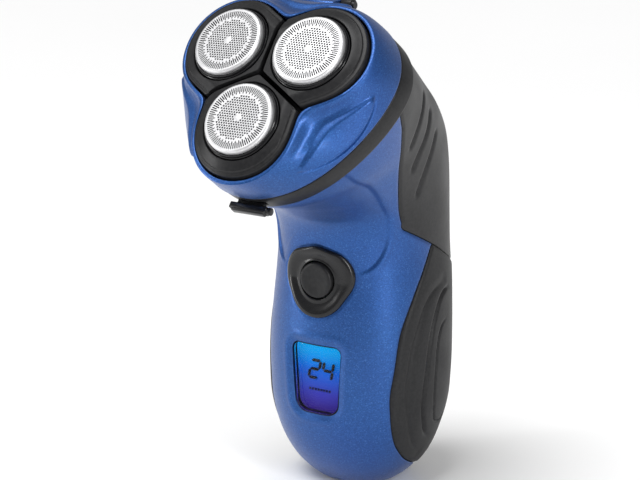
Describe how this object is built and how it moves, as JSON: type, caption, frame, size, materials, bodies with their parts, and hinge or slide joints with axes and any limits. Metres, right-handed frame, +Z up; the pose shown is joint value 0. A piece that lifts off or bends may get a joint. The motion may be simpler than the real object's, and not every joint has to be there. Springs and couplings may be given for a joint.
{
  "type": "electric shaver",
  "caption": "Cordless rotary electric shaver with a flip-open round shaving head, lit display, push button and pop-up trimmer on an upright handle.",
  "frame": {"origin": "centre of the flat base it stands on", "axes": "+Z up the handle, -Y the front with the button, display and shaving head, +X the side"},
  "size_m": [0.0742, 0.1068, 0.1619],
  "materials": {
    "blue_plastic": "metallic flake lacquer, satin gloss",
    "grey_plastic": "fine texture",
    "soft_grip": "matt",
    "black_plastic": "satin",
    "gloss_black": "gloss",
    "steel": "satin",
    "foil_steel": "fine satin",
    "cell": "printed sleeve",
    "board": "solder mask",
    "lcd": "lit",
    "white_plastic": "satin",
    "clear": "clear",
    "brass": "satin"
  },
  "bodies": {
    "handle": {"front_shell": "blue_plastic", "rear_cover": "grey_plastic", "rear_grip": "soft_grip", "inner_frame": "grey_plastic", "collar": "black_plastic", "gear_plate": "grey_plastic", "hinge_pin": "steel", "motor": "steel", "cell_left": "cell", "cell_right": "cell", "cell_straps": "steel", "circuit_board": "board", "tact_switch": "steel", "lcd_module": "lcd", "backlight": "white_plastic", "display_window": "clear", "button_bezel": "gloss_black", "inlet_socket": "black_plastic", "inlet_pins": "brass", "plate_screws": "steel"},
    "power_button": {"power_button": "gloss_black"},
    "head_latch": {"head_latch": "black_plastic"},
    "head": {"head_cover": "blue_plastic", "retaining_frame": "black_plastic"},
    "motor_rotor": {"motor_pinion": "brass", "motor_shaft": "steel"},
    "trimmer": {"trimmer_arm": "grey_plastic", "trimmer_comb": "steel", "trimmer_pin": "steel"},
    "trimmer_blade": {"trimmer_blade": "steel"},
    "trimmer_switch": {"trimmer_switch": "black_plastic"},
    "segment_right": {"segment_right": "black_plastic"},
    "foil_right": {"foil_right": "foil_steel", "foil_ring_right": "black_plastic"},
    "cutter_right": {"cutter_right": "steel"},
    "drive_gear_right": {"drive_gear_right": "white_plastic", "spindle_right": "white_plastic"},
    "segment_left": {"segment_left": "black_plastic"},
    "foil_left": {"foil_left": "foil_steel", "foil_ring_left": "black_plastic"},
    "cutter_left": {"cutter_left": "steel"},
    "drive_gear_left": {"drive_gear_left": "white_plastic", "spindle_left": "white_plastic"},
    "segment_front": {"segment_front": "black_plastic"},
    "foil_front": {"foil_front": "foil_steel", "foil_ring_front": "black_plastic"},
    "cutter_front": {"cutter_front": "steel"},
    "drive_gear_front": {"drive_gear_front": "white_plastic", "spindle_front": "white_plastic"}
  },
  "joints": [
    {"name": "power_button_press", "type": "slide", "parent": "handle", "child": "power_button", "axis": [0, 1, 0], "range_m": [0, 0.0008], "stiffness_N_per_m": 600},
    {"name": "head_latch_press", "type": "slide", "parent": "handle", "child": "head_latch", "axis": [0, 0.6293, 0.7771], "range_m": [0, 0.0008], "stiffness_N_per_m": 500},
    {"name": "head_hinge", "type": "hinge", "parent": "handle", "child": "head", "pos_m": [0, -0.02023, 0.15942], "axis": [-1, 0, 0], "range_deg": [0, 105]},
    {"name": "trimmer_hinge", "type": "hinge", "parent": "handle", "child": "trimmer", "pos_m": [0, 0.0276, 0.087], "axis": [-1, 0, 0], "range_deg": [0, 75]},
    {"name": "trimmer_blade_slide", "type": "slide", "parent": "trimmer", "child": "trimmer_blade", "axis": [1, 0, 0], "range_m": [-0.001, 0.001]},
    {"name": "trimmer_switch_slide", "type": "slide", "parent": "handle", "child": "trimmer_switch", "axis": [0, 0, 1], "range_m": [0, 0.003]},
    {"name": "segment_right_tilt", "type": "hinge", "parent": "head", "child": "segment_right", "pos_m": [0.01438, -0.04636, 0.14622], "axis": [-0.5, 0.545, 0.673], "range_deg": [-3, 3], "stiffness_Nm_per_rad": 0.08},
    {"name": "foil_right_float", "type": "slide", "parent": "segment_right", "child": "foil_right", "axis": [-0.0499, 0.7577, -0.6506], "range_m": [0, 0.0015], "stiffness_N_per_m": 400},
    {"name": "cutter_right_spin", "type": "hinge", "parent": "foil_right", "child": "cutter_right", "pos_m": [0.01438, -0.05258, 0.15125], "axis": [0.0499, -0.7577, 0.6506], "continuous": true},
    {"name": "drive_gear_right_spin", "type": "hinge", "parent": "handle", "child": "drive_gear_right", "pos_m": [0.01438, -0.05258, 0.15125], "axis": [0, -0.7771, 0.6293], "continuous": true},
    {"name": "segment_left_tilt", "type": "hinge", "parent": "head", "child": "segment_left", "pos_m": [-0.01438, -0.04636, 0.14622], "axis": [-0.5, -0.545, -0.673], "range_deg": [-3, 3], "stiffness_Nm_per_rad": 0.08},
    {"name": "foil_left_float", "type": "slide", "parent": "segment_left", "child": "foil_left", "axis": [0.0499, 0.7577, -0.6506], "range_m": [0, 0.0015], "stiffness_N_per_m": 400},
    {"name": "cutter_left_spin", "type": "hinge", "parent": "foil_left", "child": "cutter_left", "pos_m": [-0.01438, -0.05258, 0.15125], "axis": [-0.0499, -0.7577, 0.6506], "continuous": true},
    {"name": "drive_gear_left_spin", "type": "hinge", "parent": "handle", "child": "drive_gear_left", "pos_m": [-0.01438, -0.05258, 0.15125], "axis": [0, -0.7771, 0.6293], "continuous": true},
    {"name": "segment_front_tilt", "type": "hinge", "parent": "head", "child": "segment_front", "pos_m": [0, -0.06203, 0.12687], "axis": [1, 0, 0], "range_deg": [-3, 3], "stiffness_Nm_per_rad": 0.08},
    {"name": "foil_front_float", "type": "slide", "parent": "segment_front", "child": "foil_front", "axis": [0, 0.8121, -0.5835], "range_m": [0, 0.0015], "stiffness_N_per_m": 400},
    {"name": "cutter_front_spin", "type": "hinge", "parent": "foil_front", "child": "cutter_front", "pos_m": [0, -0.06825, 0.1319], "axis": [0, -0.8121, 0.5835], "continuous": true},
    {"name": "drive_gear_front_spin", "type": "hinge", "parent": "handle", "child": "drive_gear_front", "pos_m": [0, -0.06825, 0.1319], "axis": [0, -0.7771, 0.6293], "continuous": true},
    {"name": "motor_spin", "type": "hinge", "parent": "handle", "child": "motor_rotor", "pos_m": [0, -0.03449, 0.12592], "axis": [0, -0.7771, 0.6293], "continuous": true}
  ],
  "couplings": [
    {"joint": "cutter_right_spin", "follows": "drive_gear_right_spin", "ratio": 1},
    {"joint": "drive_gear_left_spin", "follows": "drive_gear_right_spin", "ratio": 1},
    {"joint": "cutter_left_spin", "follows": "drive_gear_right_spin", "ratio": 1},
    {"joint": "drive_gear_front_spin", "follows": "drive_gear_right_spin", "ratio": 1},
    {"joint": "cutter_front_spin", "follows": "drive_gear_right_spin", "ratio": 1},
    {"joint": "motor_spin", "follows": "drive_gear_right_spin", "ratio": -1.9}
  ]
}
